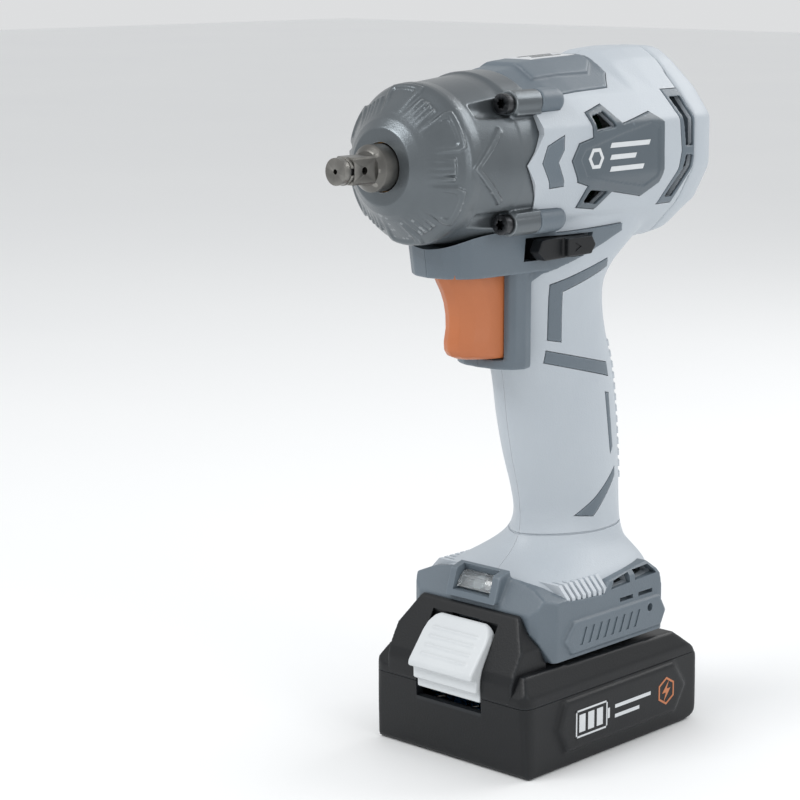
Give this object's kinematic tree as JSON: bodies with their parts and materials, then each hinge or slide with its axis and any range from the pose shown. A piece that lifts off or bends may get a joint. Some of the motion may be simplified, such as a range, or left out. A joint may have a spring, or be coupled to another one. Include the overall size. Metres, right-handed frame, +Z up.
{
  "type": "impact wrench",
  "caption": "Cordless pistol-grip impact wrench with a square drive, ribbed cast hammer case and slide-on battery pack.",
  "frame": {"origin": "on the battery pack's flat underside, on the plane between the two housing halves, below the foot of the grip", "axes": "+Z up through the grip, -Y towards the nose and square drive, +X to the side of the tool that is on the left seen from behind"},
  "size_m": [0.0792, 0.1745, 0.2615],
  "materials": {
    "light_grey_plastic": "moulded, fine texture",
    "dark_grey_plastic": "moulded, fine texture",
    "plate_plastic": "moulded, smooth",
    "black_plastic": "moulded, fine texture",
    "white_plastic": "moulded, smooth",
    "orange_plastic": "moulded, fine texture",
    "cast_case": "die cast, satin metallic paint",
    "bronze": "sintered",
    "black_bolt": "black oxide",
    "screw_steel": "black zinc",
    "label_foil": "brushed foil",
    "clear_lens": "clear",
    "circuit_board": "solder mask",
    "contact_metal": "plated",
    "spring_steel": "oiled",
    "drive_steel": "hardened, phosphated",
    "seal_rubber": "smooth",
    "ball_steel": "ground",
    "aluminium": "die cast",
    "lamination": "stacked sheet",
    "magnet": "nickel plated",
    "copper": "enamelled wire",
    "cell_wrap": "shrink film"
  },
  "bodies": {
    "housing": {"housing_left": "light_grey_plastic", "housing_right": "light_grey_plastic", "housing_screws": "screw_steel", "rear_cap": "light_grey_plastic", "rear_cap_screws": "screw_steel", "hammer_case": "cast_case", "case_bush": "bronze", "case_bolts": "black_bolt", "side_plate_left": "plate_plastic", "side_plate_right": "plate_plastic", "top_insert": "dark_grey_plastic", "top_label": "label_foil", "grip_inlays_left": "dark_grey_plastic", "grip_inlays_right": "dark_grey_plastic", "collar_left": "dark_grey_plastic", "collar_right": "dark_grey_plastic", "foot_skirt": "dark_grey_plastic", "led_lens": "clear_lens", "led_board": "circuit_board", "control_board": "circuit_board", "terminal_block": "contact_metal", "switch_body": "black_plastic", "ring_gear": "drive_steel", "gear_case": "aluminium", "spindle_bearing": "ball_steel", "rotor_bearings": "ball_steel", "stator_core": "lamination", "stator_insulators": "white_plastic", "stator_coils": "copper", "hall_board": "circuit_board"},
    "anvil": {"anvil": "drive_steel", "friction_ring": "drive_steel", "friction_o_ring": "seal_rubber"},
    "spindle": {"spindle": "drive_steel", "planet_pins": "drive_steel", "cam_balls": "ball_steel", "hammer_spring": "spring_steel"},
    "hammer": {"hammer": "drive_steel", "spring_washer": "drive_steel"},
    "planet_1": {"planet_gear_1": "drive_steel"},
    "planet_2": {"planet_gear_2": "drive_steel"},
    "planet_3": {"planet_gear_3": "drive_steel"},
    "rotor": {"rotor_shaft": "drive_steel", "rotor_core": "lamination", "magnets": "magnet", "fan": "black_plastic"},
    "trigger": {"trigger": "orange_plastic", "switch_spring": "spring_steel"},
    "direction_lever": {"direction_lever": "black_plastic"},
    "battery": {"battery_case": "black_plastic", "battery_cover": "black_plastic", "battery_screws": "screw_steel", "cells": "cell_wrap", "cell_holder": "black_plastic", "battery_board": "circuit_board", "battery_terminals": "contact_metal", "latch_springs": "spring_steel"},
    "release_button": {"release_button": "white_plastic"}
  },
  "joints": [
    {"name": "spindle_spin", "type": "hinge", "parent": "housing", "child": "spindle", "pos_m": [0, -0.01, 0.224], "axis": [0, 1, 0], "continuous": true},
    {"name": "anvil_spin", "type": "hinge", "parent": "housing", "child": "anvil", "pos_m": [0, -0.1, 0.224], "axis": [0, 1, 0], "continuous": true},
    {"name": "rotor_spin", "type": "hinge", "parent": "housing", "child": "rotor", "pos_m": [0, 0.024, 0.224], "axis": [0, 1, 0], "continuous": true},
    {"name": "hammer_slide", "type": "slide", "parent": "spindle", "child": "hammer", "axis": [0, 1, 0], "range_m": [0, 0.0075], "stiffness_N_per_m": 20000, "springref_m": -0.004, "deforming": ["hammer_spring"]},
    {"name": "planet_1_spin", "type": "hinge", "parent": "spindle", "child": "planet_1", "pos_m": [0.01238, -0.014, 0.224], "axis": [0, 1, 0], "continuous": true},
    {"name": "planet_2_spin", "type": "hinge", "parent": "spindle", "child": "planet_2", "pos_m": [-0.00619, -0.014, 0.23472], "axis": [0, 1, 0], "continuous": true},
    {"name": "planet_3_spin", "type": "hinge", "parent": "spindle", "child": "planet_3", "pos_m": [-0.00619, -0.014, 0.21328], "axis": [0, 1, 0], "continuous": true},
    {"name": "trigger_pull", "type": "slide", "parent": "housing", "child": "trigger", "axis": [0, 1, 0], "range_m": [0, 0.0065], "stiffness_N_per_m": 900, "springref_m": -0.004, "deforming": ["switch_spring"]},
    {"name": "direction_slide", "type": "slide", "parent": "housing", "child": "direction_lever", "axis": [1, 0, 0], "range_m": [-0.003, 0.003]},
    {"name": "battery_slide", "type": "slide", "parent": "housing", "child": "battery", "axis": [0, -1, 0], "range_m": [0, 0.09]},
    {"name": "release_press", "type": "slide", "parent": "battery", "child": "release_button", "axis": [0, 0, -1], "range_m": [0, 0.0035], "stiffness_N_per_m": 1500, "springref_m": -0.004, "deforming": ["latch_springs"]}
  ],
  "couplings": [
    {"joint": "anvil_spin", "follows": "spindle_spin", "ratio": 1},
    {"joint": "rotor_spin", "follows": "spindle_spin", "ratio": 5.5},
    {"joint": "planet_1_spin", "follows": "spindle_spin", "ratio": -2.5714},
    {"joint": "planet_2_spin", "follows": "spindle_spin", "ratio": -2.5714},
    {"joint": "planet_3_spin", "follows": "spindle_spin", "ratio": -2.5714}
  ]
}
